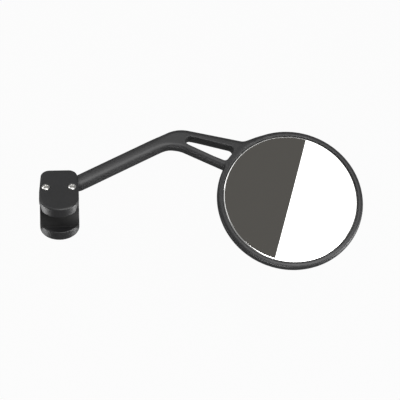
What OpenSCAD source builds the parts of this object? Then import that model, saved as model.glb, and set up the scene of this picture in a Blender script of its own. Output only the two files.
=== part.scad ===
// Clamp-on mirror: a two-shell clamp grips a handlebar in front and a ball at the rear,
// and one moulding carries the arm, its two-branch fork and the round mirror housing.
// The origin is on the bar's axis. X runs along the bar, Y points away from the mouth, Z is up.

/* [Clamp shells] */
// Width of the clamp along the bar
body_w = 34.4; // [32:0.2:40]
// Height of the clamp over both shells
body_h = 35.4; // [33:0.2:40]
// Reach of the rounded nose in front of the bar's axis
nose_reach = 14.6; // [13:0.1:16]
// Distance from the bar's axis to the flat back
body_back = 40.1; // [37.5:0.2:45.1]
// Height of the mouth between the two front lips
mouth_h = 17; // [13:0.2:19]
// Radius of the two upright back corners
corner_r = 8; // [6:0.2:12]
// Rounding of the outer top and bottom edges
edge_r = 1.6; // [1:0.1:2.4]
// Gap between the two shells when tightened
parting_gap = 0.8; // [0.4:0.1:1.6]

/* [Bar and pads] */
// Diameter of the handlebar
bar_d = 22.2; // [20:0.1:22.6]
// Thickness of the rubber pads
pad_t = 1.2; // [0.8:0.1:1.6]
// Distance of the pads' ends inside the shells' sides
pad_inset = 0.6; // [0.3:0.1:1.2]
// Angle of the pads' front edge, measured from straight back over the top
pad_front_angle = 120; // [110:1:124]
// Angle of the pads' rear edge, measured the same way
pad_rear_angle = 12; // [8:1:30]

/* [Clamp screws] */
// Thread diameter of the two screws
screw_d = 4; // [3:0.5:4]
// Distance of each screw inside the clamp's side
screw_inset = 5.7; // [5.2:0.1:6.5]
// Distance from the bar's axis back to the screws
screw_back = 16.2; // [15.4:0.1:17.3]
// Diameter of the domed screw heads
head_d = 7.8; // [7:0.1:8.4]
// Height of the screw heads
head_h = 2.4; // [1.8:0.1:2.8]
// Depth of the counterbore that takes the head
head_sink = 1.4; // [1:0.1:2]
// Width across the flats of the nuts
nut_af = 7; // [6.5:0.1:7.4]
// Thickness of the nuts
nut_h = 3.2; // [2.6:0.1:3.6]
// Depth of the nut pockets from the bottom
nut_pocket = 5.8; // [4.6:0.1:7]
// Radial clearance of the screws in the shells
hole_clear = 0.2; // [0.15:0.05:0.3]

/* [Ball joint] */
// Diameter of the ball
ball_d = 16; // [15:0.2:16.8]
// Distance from the bar's axis back to the ball's centre
ball_back = 26.8; // [26.3:0.1:27.7]
// Height of the ball's centre above the bar's axis
ball_up = 2.3; // [0:0.1:3]
// Wall of the friction cups round the ball
cup_wall = 1.8; // [1.4:0.1:2]
// Gap between the two cups
cup_gap = 0.6; // [0.4:0.1:1.2]
// Diameter of the ball's neck
neck_d = 8; // [7:0.2:9]
// Diameter of the stud's shank
stud_d = 6; // [5:0.5:7]
// Length of the shank inside the arm's bush
stud_len = 24; // [16:1:32]
// Length of the ring that holds the arm on the shank
ring_len = 2; // [1.5:0.1:3]
// Swing of the arm to each side
pan_range = 10; // [6:1:12]
// Swing of the arm upwards
tilt_up = 5; // [3:1:6]
// Swing of the arm downwards
tilt_down = 8; // [5:1:10]

/* [Stored pose] */
// Direction of the arm, turned from the bar towards the back
arm_yaw = 23.7; // [15:0.1:32]
// Rise of the arm above the level
arm_pitch = 11.8; // [8:0.1:13]
// Turn of the mirror about the arm's own axis
arm_roll = 26.1; // [-180:0.1:180]

/* [Arm] */
// Diameter of the arm where it leaves the clamp
arm_d = 14.2; // [12:0.1:14.6]
// Distance from the ball's centre to the arm's full diameter
arm_full = 19; // [18:0.5:22]
// Distance from the ball's centre to the bend
bend_x = 109.3; // [90:0.5:130]

/* [Fork] */
// Thickness of the fork
fork_t = 12.8; // [12:0.1:14]
// Width of the upper branch
upper_w = 6.6; // [5:0.1:7.5]
// Width of the lower branch
lower_w = 6.2; // [5:0.1:7.5]
// Distance along the arm between the roots of the branches
branch_spread = 15.6; // [14:0.1:18]
// Angle of the upper branch from the arm's line
upper_angle = 41.5; // [38:0.5:44]
// Angle of the lower branch from the arm's line
lower_angle = 53.2; // [50:0.5:56]
// Radius of the slot's end at the bend
slot_end_r = 4; // [3.6:0.1:4.4]
// Radius of the slot's upper corner at the housing
slot_top_r = 4.6; // [3:0.1:5.5]
// Radius of the slot's lower corner at the housing
slot_low_r = 3.4; // [2:0.1:4]
// Wall between the slot and the housing
slot_wall = 0.8; // [0.6:0.1:3]
// Radius of the outer curve over the bend
bend_top_r = 30; // [20:1:34]
// Radius of the hollow inside the bend
bend_r = 24; // [14:1:28]
// Narrowing of the arm's upper side at the bend
bend_trim = 0.9; // [0.4:0.1:1.4]
// Radius of the hollow where the upper branch runs into the housing
root_r = 20; // [8:1:22]
// Rounding of the fork's long outer edges
fork_edge = 5; // [3:0.2:5.6]

/* [Mirror housing] */
// Outer diameter of the housing
housing_d = 132; // [120:1:140]
// Distance of the housing's centre beyond the bend, along the arm
housing_dx = 69.9; // [64:0.1:72]
// Distance of the housing's centre below the arm's line
housing_dy = 101.7; // [100:0.1:110]
// Height of the rim's front above the arm's axis
rim_top = 7.8; // [7:0.1:9]
// Rounding of the rim's front edge
rim_r = 3.6; // [2.4:0.1:4]
// Width of the rim round the glass
rim_w = 5.1; // [4.6:0.1:6.5]
// Depth of the housing's back edge below the arm's axis
back_low = 7.4; // [7:0.1:9]
// Rounding of the housing's back edge
back_r = 7.5; // [5:0.1:9]
// Bulge of the housing's back, beyond its edge
back_bulge = 3; // [1:0.1:5]
// Wall of the housing's back
dish_wall = 2.4; // [1.6:0.1:3]

/* [Glass] */
// Thickness of the glass
glass_t = 3; // [2:0.1:3.4]
// Distance of the glass's edge below the rim
glass_sink = 1.6; // [1.2:0.1:2]
// Radius of the glass's convex face
glass_crown = 1200; // [1000:50:1600]
// Gap round the glass
glass_gap = 0.2; // [0.1:0.05:0.4]
// Thickness of the foam ring behind the glass's edge
foam_t = 1.6; // [1:0.1:2]

/* [Hidden] */

eps = 0.01;
half_h = body_h / 2;
nose_r = body_w / 2;
nose_y = nose_r - nose_reach;
side_taper = 1.1;
corner_x = nose_r - corner_r - side_taper;
corner_y = body_back - corner_r;
bar_r = bar_d / 2;
pad_r = bar_r + pad_t;
lip_clear = 0.2;
lip_r = bar_r + lip_clear;
half_part = parting_gap / 2;

screw_r = screw_d / 2;
screw_hole_r = screw_r + hole_clear;
seat_z = half_h - head_sink;
nut_top = -half_h + nut_pocket;
screw_short = 0.6;
screw_end = -half_h + screw_short;
thread_clear = 0.05;
nut_clear = 0.1;
recess_len = 0.56;
recess_w = 0.13;
recess_turn = 12;

ball_r = ball_d / 2;
ball_clear = 0.05;
cup_r = ball_r + cup_wall;
pocket_clear = 0.1;
cup_seat = 0.05;
neck_clear = 0.4;
bush_wall = 1.6;
bush_r = stud_d / 2 + bush_wall;
stud_clear = 0.05;
root_gap = 2.6;
arm_root = cup_r + root_gap;
ring_wall = 1;
ring_r = stud_d / 2 + ring_wall;
ring_clear = 0.3;
ring_start = arm_root + stud_len + ring_clear;
arm_r = arm_d / 2;
root_taper = 1.4;
root_arm_r = arm_r - root_taper;
window_clear = 0.6;
window_flare = 2.4;
window_inside = 3;
window_beyond = 20;

bend_lead = 16;
fork_start = bend_x - bend_lead;
bend_lag = 4;
housing_r = housing_d / 2;
fork_reach = 1.5 * housing_r;
fork_sink = rim_w + 2 * fork_edge;
root_sink = 0.4;
housing_c = [bend_x + housing_dx, -housing_dy];
glass_hole_r = housing_r - rim_w;
glass_r = glass_hole_r - glass_gap;
glass_edge_z = rim_top - glass_sink;
rim_chamfer = 0.4;
foam_inset = 2;
foam_r = glass_r - foam_inset;
foam_w = 8;
shelf_r = foam_r - foam_w;
foam_seat_z = glass_edge_z - glass_t - foam_t;

// Points of a circular arc, for a polygon
function arc(c, r, a0, a1, n) = [for (i = [0:n]) c + r * [cos(a0 + (a1 - a0) * i / n), sin(a0 + (a1 - a0) * i / n)]];

// Rise of the convex glass at distance r from its centre, above its edge
function crown(r) = sqrt(glass_crown * glass_crown - r * r) - sqrt(glass_crown * glass_crown - glass_r * glass_r);

// Plan of the clamp: round nose, straight sides, rounded back corners. The inset shrinks it.
module plan(inset = 0) {
    r = nose_r - inset;
    q = corner_r - inset;
    way = [corner_x, corner_y - nose_y];
    lean = atan2(way[0], way[1]) + asin((corner_r - nose_r) / norm(way));
    out = [cos(lean), -sin(lean)];
    a = [0, nose_y] + r * out;
    b = [corner_x, corner_y] + q * out;
    back = body_back - inset;
    translate([0, nose_y]) circle(r = r, $fn = 96);
    for (s = [-1, 1]) translate([s * corner_x, corner_y]) circle(r = q, $fn = 64);
    polygon([a, b, [corner_x, corner_y], [corner_x, back], [-corner_x, back], [-corner_x, corner_y],
             [-b[0], b[1]], [-a[0], a[1]]]);
}

// Disc with one rounded edge at the top, a corner of the clamp's blank
module edge_disc(r, h) {
    rotate_extrude($fn = 48)
        polygon(concat([[0, 0], [r, 0]], arc([r - edge_r, h - edge_r], edge_r, 0, 90, 4), [[0, h]]));
}

// Solid blank of one shell, standing on the parting plane
module shell_blank() {
    h = half_h - half_part;
    translate([0, 0, half_part]) hull() {
        translate([0, nose_y, 0]) edge_disc(nose_r, h);
        for (s = [-1, 1]) translate([s * corner_x, corner_y, 0]) edge_disc(corner_r, h);
    }
}

// Cylinder lying along the bar
module along_bar(r, len) {
    rotate([0, 90, 0]) cylinder(r = r, h = len, center = true, $fn = 96);
}

// Wedge over the angles of the upper pad, open towards the bar's ends
module pad_sector(len) {
    reach = 2 * pad_r;
    rotate([90, 0, 90]) linear_extrude(len, center = true)
        polygon([[0, 0], for (a = [pad_rear_angle:(pad_front_angle - pad_rear_angle) / 4:pad_front_angle + eps]) reach * [cos(a), sin(a)]]);
}

// Space that the bar, the upper pad and the mouth take from a shell
module bar_space() {
    along_bar(lip_r, 2 * body_w);
    translate([-body_w, -body_back, -mouth_h / 2]) cube([2 * body_w, body_back, mouth_h]);
    intersection() {
        along_bar(pad_r, 2 * body_w);
        pad_sector(2 * body_w);
    }
}

// Place a child at both screws, or at one of them
module at_screws(sides = [-1, 1]) {
    for (s = sides) translate([s * (body_w / 2 - screw_inset), screw_back, 0]) children();
}

// Place a child at the ball's centre, along the arm with no roll, swung by pan and tilt
module along_arm(pan = 0, tilt = 0) {
    translate([0, ball_back, ball_up])
        rotate([0, 0, arm_yaw + pan]) rotate([0, -arm_pitch - tilt, 0]) children();
}

// Place a child in the arm's own frame, with the mirror's face looking along its Z
module in_arm() {
    along_arm() rotate([arm_roll, 0, 0]) children();
}

// Window in the shells that lets the arm swing between its limits
module arm_window() {
    reach = arm_full - cup_r + window_beyond;
    hull() for (p = [-pan_range, pan_range], t = [-tilt_down, tilt_up])
        along_arm(p, t) rotate([0, 90, 0]) translate([0, 0, cup_r - window_inside])
            cylinder(r1 = root_arm_r + window_clear, r2 = arm_r + window_clear + window_flare, h = reach, $fn = 32);
}

// Pocket that holds the two friction cups
module cup_pocket() {
    translate([0, ball_back, ball_up])
        cylinder(r = cup_r + pocket_clear, h = 2 * (cup_r + cup_seat), center = true, $fn = 96);
}

// Upper shell: roof of the clamp, with the counterbored screw holes
module upper_shell() {
    color("#2b2b2c") difference() {
        shell_blank();
        bar_space();
        cup_pocket();
        arm_window();
        at_screws() {
            cylinder(r = screw_hole_r, h = half_h + 1, $fn = 48);
            translate([0, 0, seat_z]) cylinder(r = head_d / 2 + hole_clear, h = head_sink + 1, $fn = 64);
        }
    }
}

// Lower shell: the jaw that the screws pull up, with a deep pocket for each nut
module lower_shell() {
    color("#2b2b2c") difference() {
        mirror([0, 0, 1]) shell_blank();
        mirror([0, 0, 1]) bar_space();
        cup_pocket();
        arm_window();
        at_screws() {
            translate([0, 0, -half_h - 1]) cylinder(r = screw_hole_r, h = half_h + 1, $fn = 48);
            translate([0, 0, -half_h - 1]) nut_prism(nut_clear, nut_pocket + 1);
        }
    }
}

// Hexagonal prism for a nut or its pocket
module nut_prism(clear, h) {
    cylinder(r = (nut_af / 2 + clear) / cos(30), h = h, $fn = 6);
}

// Rubber pad between the bar and the upper shell, with ends that follow the clamp's sides
module bar_pad() {
    intersection() {
        difference() {
            along_bar(pad_r, 2 * body_w);
            along_bar(bar_r, 3 * body_w);
        }
        pad_sector(2 * body_w);
        linear_extrude(2 * body_h, center = true) plan(pad_inset);
    }
}

module upper_bar_pad() {
    color("#1c1c1c") bar_pad();
}

module lower_bar_pad() {
    color("#1c1c1c") mirror([0, 0, 1]) bar_pad();
}

// Friction cup over the ball. It turns with the arm and its window lets the neck tilt.
module ball_cup() {
    translate([0, ball_back, ball_up]) rotate([0, 0, arm_yaw]) difference() {
        children();
        sphere(r = ball_r + ball_clear, $fn = 96);
        hull() for (t = [-tilt_down, tilt_up]) rotate([0, 90 - arm_pitch - t, 0])
            cylinder(r = neck_d / 2 + neck_clear, h = 2 * cup_r, $fn = 32);
    }
}

module upper_ball_cup() {
    color("#d8d4c8") ball_cup() translate([0, 0, cup_gap / 2])
        cylinder(r = cup_r, h = cup_r - cup_gap / 2, $fn = 96);
}

module lower_ball_cup() {
    color("#d8d4c8") ball_cup() translate([0, 0, -cup_r])
        cylinder(r = cup_r, h = cup_r - cup_gap / 2, $fn = 96);
}

// Pan-head screw with a cross recess
module clamp_screw() {
    dome_r = (head_d * head_d / 4 + head_h * head_h / 4) / head_h;
    difference() {
        union() {
            translate([0, 0, screw_end]) cylinder(r = screw_r, h = seat_z - screw_end + eps, $fn = 48);
            translate([0, 0, seat_z]) cylinder(r = head_d / 2, h = head_h / 2, $fn = 64);
            translate([0, 0, seat_z + head_h / 2]) intersection() {
                cylinder(r = head_d / 2, h = head_h / 2, $fn = 64);
                translate([0, 0, head_h / 2 - 2 * dome_r]) sphere(r = 2 * dome_r, $fn = 96);
            }
        }
        for (a = [0, 90]) rotate([0, 0, recess_turn + a])
            translate([0, 0, seat_z + head_h]) cube([recess_len * head_d, recess_w * head_d, head_h], center = true);
    }
}

module clamp_screw_left() {
    color("#c9c9c9") at_screws([-1]) clamp_screw();
}

module clamp_screw_right() {
    color("#c9c9c9") at_screws([1]) clamp_screw();
}

// Plain hexagon nut, its top against the roof of its pocket
module clamp_nut() {
    difference() {
        translate([0, 0, nut_top - nut_h]) nut_prism(0, nut_h);
        translate([0, 0, nut_top - nut_h - 1]) cylinder(r = screw_r + thread_clear, h = nut_h + 2, $fn = 48);
    }
}

module clamp_nut_left() {
    color("#b5b5b5") at_screws([-1]) clamp_nut();
}

module clamp_nut_right() {
    color("#b5b5b5") at_screws([1]) clamp_nut();
}

// Steel ball with its neck and the shank that the arm turns on
module ball_stud() {
    color("#a9a9ab") along_arm() {
        sphere(r = ball_r, $fn = 96);
        rotate([0, 90, 0]) {
            cylinder(r = neck_d / 2, h = arm_root - ring_clear, $fn = 64);
            cylinder(r = stud_d / 2, h = ring_start + ring_len, $fn = 64);
        }
    }
}

// Steel ring pressed on the shank's end, behind the bush
module stud_ring() {
    color("#8f9093") along_arm() rotate([0, 90, 0]) translate([0, 0, ring_start]) difference() {
        cylinder(r = ring_r, h = ring_len, $fn = 64);
        translate([0, 0, -1]) cylinder(r = stud_d / 2, h = ring_len + 2, $fn = 64);
    }
}

// Brass bush moulded into the arm's root, which runs on the shank
module stud_insert() {
    color("#c2a14d") along_arm() rotate([0, 90, 0]) translate([0, 0, arm_root]) difference() {
        cylinder(r = bush_r, h = stud_len, $fn = 64);
        translate([0, 0, -1]) cylinder(r = stud_d / 2 + stud_clear, h = stud_len + 2, $fn = 64);
    }
}

// Direction of a branch whose line falls away from the arm by an angle
function branch_dir(a) = [cos(a), -sin(a)];

// Upward normal of such a branch
function branch_up(a) = [sin(a), cos(a)];

upper_root = [bend_x + branch_spread, 0];
lower_root = [bend_x, 0];

// Point on the line through p along d at distance r from the housing's centre, on the near side
function meet_circle(p, d, r) =
    let (w = p - housing_c, b = w * d, c = w * w - r * r) p + d * (-b - sqrt(b * b - c));

// Point at heights u and v over the lines of the two branches
function between(u, v) =
    let (nu = branch_up(upper_angle), nv = branch_up(lower_angle),
         cu = nu * upper_root + u, cv = nv * lower_root + v,
         det = nu[0] * nv[1] - nu[1] * nv[0])
    [cu * nv[1] - nu[1] * cv, nu[0] * cv - cu * nv[0]] / det;

// Fill the hollow corners of a flat shape with arcs
module fillet(r) {
    offset(r = -r, $fn = 48) offset(r = r, $fn = 48) children();
}

// Flat strip along a branch, from its root into the housing's wall
module strip(root, a, w) {
    d = branch_dir(a);
    far = meet_circle(root, d, housing_r) + fork_sink * d;
    hull() for (c = [root + w * d, far]) translate(c) circle(r = w / 2, $fn = 32);
}

// Rounded top of the bend: tangent to the arm's upper side and to the upper branch
module bend_top() {
    top = arm_r - bend_trim;
    edge = upper_root + upper_w / 2 * branch_up(upper_angle);
    corner = [edge[0] - (top - edge[1]) / tan(upper_angle), top];
    centre = [corner[0] - bend_top_r * tan(upper_angle / 2), top - bend_top_r];
    high = meet_circle(edge, branch_dir(upper_angle), housing_r) + fork_sink * branch_dir(upper_angle);
    low = meet_circle(lower_root, branch_dir(lower_angle), housing_r) + fork_sink * branch_dir(lower_angle);
    polygon(concat([[fork_start - fork_edge, 0], [fork_start - fork_edge, top]],
                   arc(centre, bend_top_r, 90, 90 - upper_angle, 8),
                   [high, low, lower_root]));
}

// Flat outline of the bend and the fork without its slot
module fork_outline() {
    fillet(bend_r) {
        translate([fork_start - fork_edge, -arm_r]) square([2 * fork_edge, arm_d - bend_trim]);
        translate([fork_start, -arm_r]) square([bend_x - fork_start, arm_r]);
        strip(lower_root, lower_angle, lower_w);
        bend_top();
    }
    intersection() {
        fillet(root_r) {
            strip(upper_root, upper_angle, upper_w);
            translate(housing_c) circle(r = housing_r - root_sink, $fn = 72);
        }
        translate(upper_root) rotate(-upper_angle) translate([0, -upper_w / 2]) square(fork_reach);
    }
}

// Slot between the branches, with round ends
module fork_slot() {
    u = upper_w / 2 + slot_top_r;
    v = lower_w / 2 + slot_low_r;
    near = between(-upper_w / 2 - slot_end_r, lower_w / 2 + slot_end_r);
    top = meet_circle(upper_root - u * branch_up(upper_angle), branch_dir(upper_angle),
                      housing_r + slot_wall + slot_top_r);
    low = meet_circle(lower_root + v * branch_up(lower_angle), branch_dir(lower_angle),
                      housing_r + slot_wall + slot_low_r);
    hull() {
        translate(near) circle(r = slot_end_r, $fn = 48);
        translate(top) circle(r = slot_top_r, $fn = 48);
        translate(low) circle(r = slot_low_r, $fn = 48);
    }
}

// Depth of the housing's bulged back at distance r from its centre
function back_z(r) = let (q = housing_r - back_r) -back_low - back_bulge * (1 - r * r / (q * q));

// Section of the housing: rounded rim, straight glass recess, foam shelf and a bulged back
module housing_section() {
    front = arc([housing_r - rim_r, rim_top - rim_r], rim_r, 90, 0, 6);
    lean = atan(2 * back_bulge / (housing_r - back_r));
    back = arc([housing_r - back_r, back_r - back_low], back_r, 0, lean - 90, 8);
    outside = [for (i = [7:-1:0]) let (r = (housing_r - back_r) * i / 8) [r, back_z(r)]];
    inside = [for (i = [0:8]) let (r = shelf_r * i / 8) [r, back_z(r) + dish_wall]];
    polygon(concat([[glass_hole_r, rim_top - rim_chamfer], [glass_hole_r + rim_chamfer, rim_top]], front, back, outside,
                   inside, [[shelf_r, foam_seat_z], [glass_hole_r, foam_seat_z]]));
}

// Rounded fork, drawn in from the full section at the bend to the round arm
module fork() {
    intersection() {
        minkowski() {
            linear_extrude(fork_t - 2 * fork_edge, center = true) offset(delta = -fork_edge) fork_outline();
            sphere(r = fork_edge, $fn = 14);
        }
        hull() {
            translate([fork_start, 0, 0]) rotate([0, 90, 0]) cylinder(r = arm_r, h = eps, $fn = 48);
            translate([bend_x + bend_lag, -fork_reach, -fork_t / 2]) cube([fork_reach, 2 * fork_reach, fork_t]);
        }
    }
}

// One moulding: round arm, bend, fork and mirror housing
module arm_frame() {
    color("#2b2b2c") in_arm() difference() {
        union() {
            rotate([0, 90, 0]) {
                translate([0, 0, arm_root]) cylinder(r1 = root_arm_r, r2 = arm_r, h = arm_full - arm_root, $fn = 64);
                translate([0, 0, arm_full]) cylinder(r = arm_r, h = fork_start - arm_full + eps, $fn = 64);
            }
            difference() {
                fork();
                linear_extrude(2 * fork_t, center = true) fork_slot();
                translate([housing_c[0], housing_c[1], -fork_t]) cylinder(r = housing_r - rim_w, h = 2 * fork_t, $fn = 180);
            }
            translate(housing_c) rotate_extrude($fn = 180) housing_section();
        }
        rotate([0, 90, 0]) translate([0, 0, arm_root - 1])
            cylinder(r = bush_r, h = stud_len + ring_len + 2 * ring_clear + 1, $fn = 64);
        translate([housing_c[0], housing_c[1], foam_seat_z])
            cylinder(r = glass_hole_r, h = 40, $fn = 180);
    }
}

// Self-adhesive foam ring between the housing's shelf and the glass
module glass_pad() {
    color("#3a3a3a") in_arm() translate(housing_c) rotate_extrude($fn = 120)
        polygon(concat([[shelf_r, foam_seat_z], [foam_r, foam_seat_z]],
                       [for (i = [0:2]) let (r = foam_r - foam_w * i / 2) [r, glass_edge_z - glass_t + crown(r)]]));
}

// Convex mirror glass, lying in the recess of the housing
module mirror_glass() {
    color("#cfd4d6") in_arm() translate(housing_c) rotate_extrude($fn = 180)
        polygon(concat([for (i = [0:12]) let (r = glass_r * i / 12) [r, glass_edge_z - glass_t + crown(r)]],
                       [for (i = [12:-1:0]) let (r = glass_r * i / 12) [r, glass_edge_z + crown(r)]]));
}

upper_shell();
lower_shell();
upper_bar_pad();
lower_bar_pad();
upper_ball_cup();
lower_ball_cup();
clamp_screw_left();
clamp_screw_right();
clamp_nut_left();
clamp_nut_right();
ball_stud();
stud_ring();
stud_insert();
arm_frame();
glass_pad();
mirror_glass();
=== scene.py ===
"""The look of a clamp-on handlebar mirror: satin black moulded shells, arm and housing,
bright screws, a convex glass, and the soft studio light that it stands in.

Sizes in the classes are millimetres, and the meshes are written in metres. The lamps are in metres.
"""
import logging
from dataclasses import dataclass, field
from enum import Enum
from typing import Callable, Sequence

import bpy
import numpy as np
from mathutils import Matrix


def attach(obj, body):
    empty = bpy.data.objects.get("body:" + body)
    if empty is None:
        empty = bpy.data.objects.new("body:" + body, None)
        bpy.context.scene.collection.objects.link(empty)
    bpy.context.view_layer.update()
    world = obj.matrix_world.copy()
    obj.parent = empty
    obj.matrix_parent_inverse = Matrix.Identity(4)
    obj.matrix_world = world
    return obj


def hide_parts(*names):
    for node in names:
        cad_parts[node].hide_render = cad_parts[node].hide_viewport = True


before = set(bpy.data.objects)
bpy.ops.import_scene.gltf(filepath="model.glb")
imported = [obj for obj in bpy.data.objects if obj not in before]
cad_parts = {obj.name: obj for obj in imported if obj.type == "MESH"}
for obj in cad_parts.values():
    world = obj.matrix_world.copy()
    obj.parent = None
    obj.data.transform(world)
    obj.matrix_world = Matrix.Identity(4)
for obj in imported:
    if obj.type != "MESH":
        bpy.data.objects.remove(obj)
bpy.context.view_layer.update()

MM = 0.001
PHOTO_PIXELS = 400
SENSOR_MM = 36.0
# Steps of the housing and the glass round their axis.
TURN_STEPS = 240
# The net's points move onto the surface in SETTLES steps, each at most REACH of a cell long. The slope
# is measured PROBE_MM to each side, and its square counts as SLOPE_FLOOR where it is less.
SETTLES = 2
REACH = 0.4
PROBE_MM = 0.01
SLOPE_FLOOR = 0.2
# Watts for each square metre of an area lamp that give its face a brightness of 1.
LAMP_WATTS = 4.0
# A direction that no lamp faces, which settles how each lamp is rolled.
LAMP_ROLL = (0.01, 1, 0.02)
Array = np.ndarray
Field = Callable[[Array, Array, Array], Array]
log = logging.getLogger("mirror")


# Small helpers

def linear(code: str) -> tuple[float, float, float, float]:
    """Turn an sRGB hex colour into linear light.

    Args:
        code: Colour such as "#1d1d1e".

    Returns:
        Linear red, green, blue and an alpha of 1.
    """
    raw = np.array([int(code[i:i + 2], 16) for i in (1, 3, 5)]) / 255
    lin = np.where(raw <= 0.04045, raw / 12.92, ((raw + 0.055) / 1.055) ** 2.4)
    return (*[float(v) for v in lin], 1.0)


def unit(vector: Sequence[float]) -> Array:
    """Scale a vector to length one."""
    array = np.asarray(vector, float)
    return array / np.linalg.norm(array)


def smooth_step(value: Array, start: float, end: float) -> Array:
    """Rise from 0 to 1 between start and end as 3t^2 - 2t^3."""
    t = np.clip((value - start) / (end - start), 0, 1)
    return t * t * (3 - 2 * t)


def soft_min(a: Array, b: Array, size: Array | float) -> Array:
    """Join two distance fields with a fillet: min(a, b) - h^2 size / 4, h = max(size - |a - b|, 0) / size."""
    h = np.maximum(size - np.abs(a - b), 0) / size
    return np.minimum(a, b) - h * h * size / 4


def soft_max(a: Array, b: Array, size: Array | float) -> Array:
    """Cut two distance fields with a rounded edge: the mirror image of soft_min."""
    return -soft_min(-a, -b, size)


def hull_distance(u: Array, v: Array, discs: Sequence[Sequence[float]], count: int = 120,
                  span: tuple[float, float] = (0, 360)) -> Array:
    """Signed distance to the outline round several discs.

    Formula: the largest, over directions n, of p.n - max_i (c_i.n + r_i).

    Args:
        u: First coordinate of the points.
        v: Second coordinate of the points.
        discs: Centre and radius of each disc, as (u, v, r).
        count: Number of directions.
        span: First and last direction in degrees.

    Returns:
        The distance, negative inside.
    """
    full = span[1] - span[0] >= 360
    angles = np.radians(np.linspace(*span, count, endpoint=not full))
    best = np.full(np.broadcast(u, v).shape, -np.inf, np.float32)
    for a in angles:
        reach = max(d[0] * np.cos(a) + d[1] * np.sin(a) + d[2] for d in discs)
        np.maximum(best, u * np.cos(a) + v * np.sin(a) - reach, out=best)
    return best


def arc_corner(u: Array, v: Array, centre: Sequence[float], radius: float, low: float, high: float) -> Array:
    """Signed distance beyond two straight edges joined by an arc.

    Formula: (p - c).n - r, where n points from c to p, held between two directions.

    Args:
        u: First coordinate of the points.
        v: Second coordinate of the points.
        centre: Centre of the arc.
        radius: Radius of the arc.
        low: Direction of one edge's normal in degrees.
        high: Direction of the other edge's normal in degrees.

    Returns:
        The distance, positive outside the arc.
    """
    du, dv = u - centre[0], v - centre[1]
    angle = np.clip(np.arctan2(dv, du), np.radians(low), np.radians(high))
    return du * np.cos(angle) + dv * np.sin(angle) - radius


def edge_rounded(flat: Array, rise: Array, radius: float) -> Array:
    """Combine a flat distance and a height with an edge of the given radius."""
    a, b = flat + radius, rise + radius
    return np.minimum(np.maximum(a, b), 0) + np.hypot(np.maximum(a, 0), np.maximum(b, 0)) - radius


@dataclass
class Surface:
    """A closed mesh in millimetres: points, four-sided faces and three-sided faces."""

    points: Array
    quads: Array = field(default_factory=lambda: np.zeros((0, 4), int))
    tris: Array = field(default_factory=lambda: np.zeros((0, 3), int))

    def volume(self) -> float:
        """Signed volume, positive when the faces point outwards."""
        t = np.vstack([self.tris, self.quads[:, [0, 1, 2]], self.quads[:, [0, 2, 3]]])
        p = self.points[t]
        return float(np.einsum("ij,ij->i", p[:, 0], np.cross(p[:, 1], p[:, 2])).sum() / 6)

    def outward(self) -> "Surface":
        """The same mesh with its faces pointing outwards."""
        if self.volume() < 0:
            self.quads, self.tris = self.quads[:, ::-1], self.tris[:, ::-1]
        return self

    def moved(self, place: "Placement") -> "Surface":
        """The same mesh carried from a local frame into the model's."""
        self.points = place.to_model(self.points)
        return self

    def join(self, other: "Surface") -> "Surface":
        """Both meshes as one."""
        n = len(self.points)
        return Surface(np.vstack([self.points, other.points]), np.vstack([self.quads, other.quads + n]),
                       np.vstack([self.tris, other.tris + n]))


@dataclass(frozen=True)
class Placement:
    """A local frame: an origin and three axes, the columns of a rotation."""

    origin: tuple[float, float, float]
    axes: tuple[tuple[float, ...], ...]

    def to_model(self, points: Array) -> Array:
        """Model coordinates of local points, origin + axes p."""
        return np.asarray(self.origin) + points @ np.asarray(self.axes).T

    def to_local(self, points: Array) -> Array:
        """Local coordinates of model points."""
        return (points - np.asarray(self.origin)) @ np.asarray(self.axes)


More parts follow.
